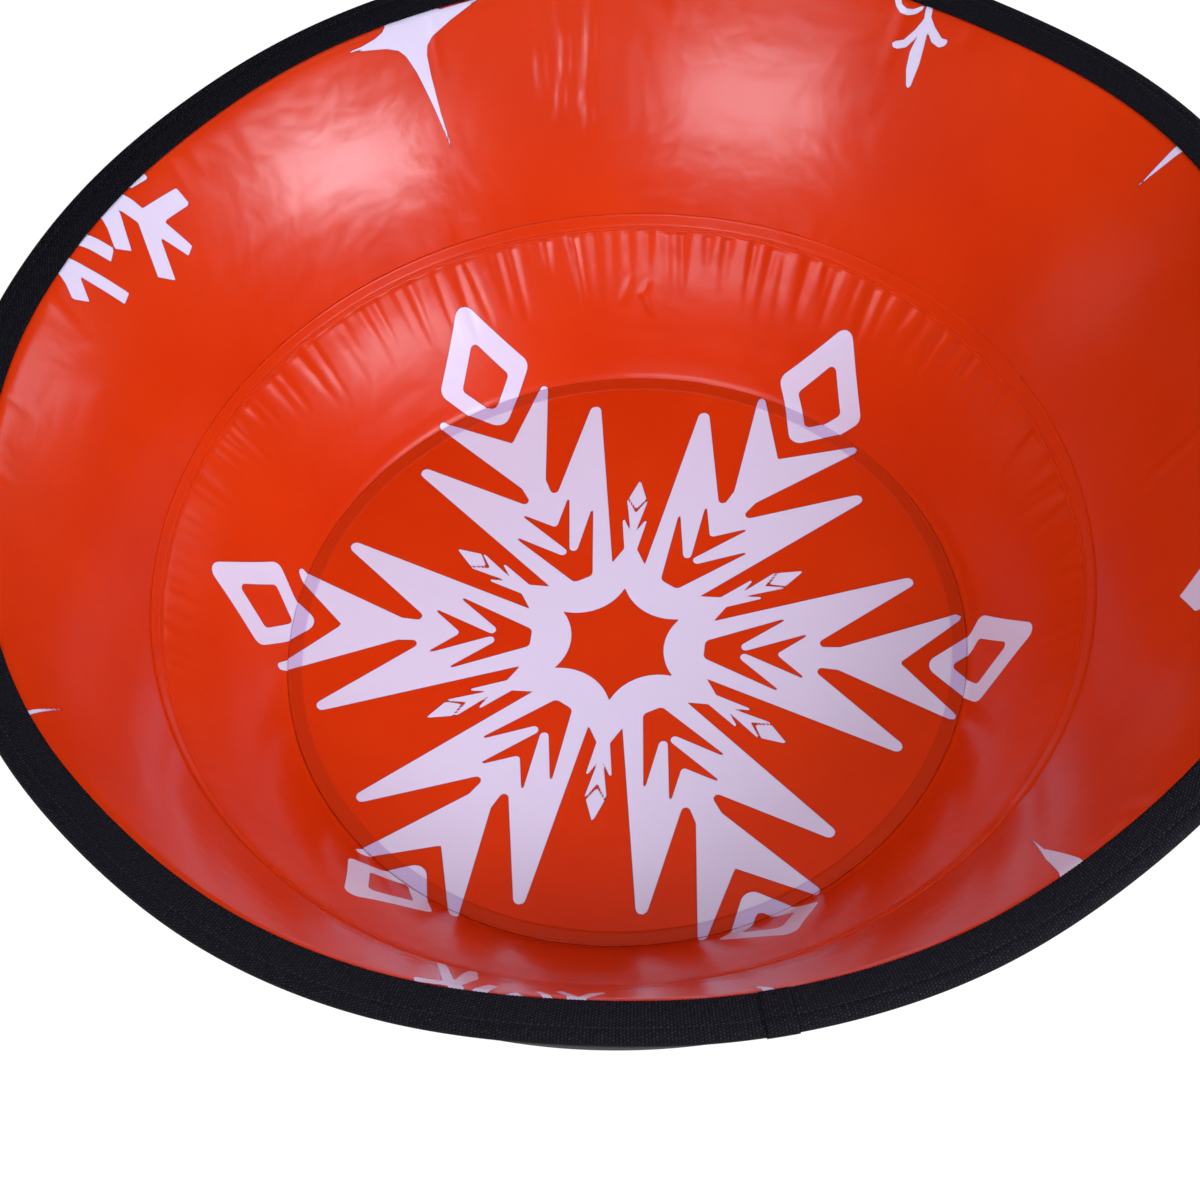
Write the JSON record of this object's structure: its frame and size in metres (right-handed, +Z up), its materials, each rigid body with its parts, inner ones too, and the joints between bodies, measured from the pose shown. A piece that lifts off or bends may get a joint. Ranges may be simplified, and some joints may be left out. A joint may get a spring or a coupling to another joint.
{
  "type": "snow tube",
  "caption": "Bowl-shaped inflatable snow tube with a printed air wall, hanging seat floor, bound rim, outer cover, screw valve, carry handles and tow ring.",
  "frame": {"origin": "on the ground under the centre of the tube", "axes": "+Z up; the tow ring is on the +Y side and the carry handles are on the +X and -X sides"},
  "size_m": [0.9946, 0.9946, 0.3334],
  "materials": {
    "printed_pvc": "glossy calendered PVC sheet, orange red, printed in pale lilac white",
    "black_pvc": "satin black PVC sheet",
    "cover_fabric": "coated woven polyester, black",
    "woven_tape": "ribbed woven binding tape and webbing, black",
    "moulded_rubber": "moulded soft black rubber, satin",
    "ring_steel": "plated steel wire"
  },
  "bodies": {
    "tube": {"seat_floor": "printed_pvc", "seat_skirt": "printed_pvc", "inner_wall": "printed_pvc", "outer_sheet": "black_pvc", "chamber_web_01": "black_pvc", "chamber_web_02": "black_pvc", "chamber_web_03": "black_pvc", "chamber_web_04": "black_pvc", "chamber_web_05": "black_pvc", "chamber_web_06": "black_pvc", "chamber_web_07": "black_pvc", "chamber_web_08": "black_pvc", "chamber_web_09": "black_pvc", "chamber_web_10": "black_pvc", "chamber_web_11": "black_pvc", "chamber_web_12": "black_pvc", "cover_side": "cover_fabric", "cover_base": "cover_fabric", "rim_tape": "woven_tape", "tape_joint": "woven_tape", "valve_base": "black_pvc", "handle_right_lug_front": "moulded_rubber", "handle_right_lug_rear": "moulded_rubber", "handle_left_lug_front": "moulded_rubber", "handle_left_lug_rear": "moulded_rubber", "tow_patch": "cover_fabric", "tow_strap": "woven_tape"},
    "handle_right": {"handle_right_bail": "woven_tape", "handle_right_grip": "moulded_rubber"},
    "handle_left": {"handle_left_bail": "woven_tape", "handle_left_grip": "moulded_rubber"},
    "valve_insert": {"valve_insert": "moulded_rubber", "valve_tether": "moulded_rubber"},
    "valve_cap": {"valve_cap": "moulded_rubber"},
    "tow_ring": {"tow_ring": "ring_steel"}
  },
  "joints": [
    {"name": "handle_right_swing", "type": "hinge", "parent": "tube", "child": "handle_right", "pos_m": [0.42123, 0, 0.18702], "axis": [0, -1, 0], "range_deg": [-2, 115]},
    {"name": "handle_left_swing", "type": "hinge", "parent": "tube", "child": "handle_left", "pos_m": [-0.42123, 0, 0.18702], "axis": [0, 1, 0], "range_deg": [-2, 115]},
    {"name": "valve_insert_turn", "type": "hinge", "parent": "tube", "child": "valve_insert", "pos_m": [0.21183, 0.3669, 0.19616], "axis": [0.4516, 0.7823, -0.4291], "range_deg": [0, 540]},
    {"name": "valve_cap_hinge", "type": "hinge", "parent": "valve_insert", "child": "valve_cap", "pos_m": [0.21736, 0.37648, 0.20873], "axis": [0.866, -0.5, 0], "range_deg": [0, 135]},
    {"name": "tow_ring_swing", "type": "hinge", "parent": "tube", "child": "tow_ring", "pos_m": [0, 0.43098, 0.19269], "axis": [1, 0, 0], "range_deg": [-15, 140]}
  ]
}
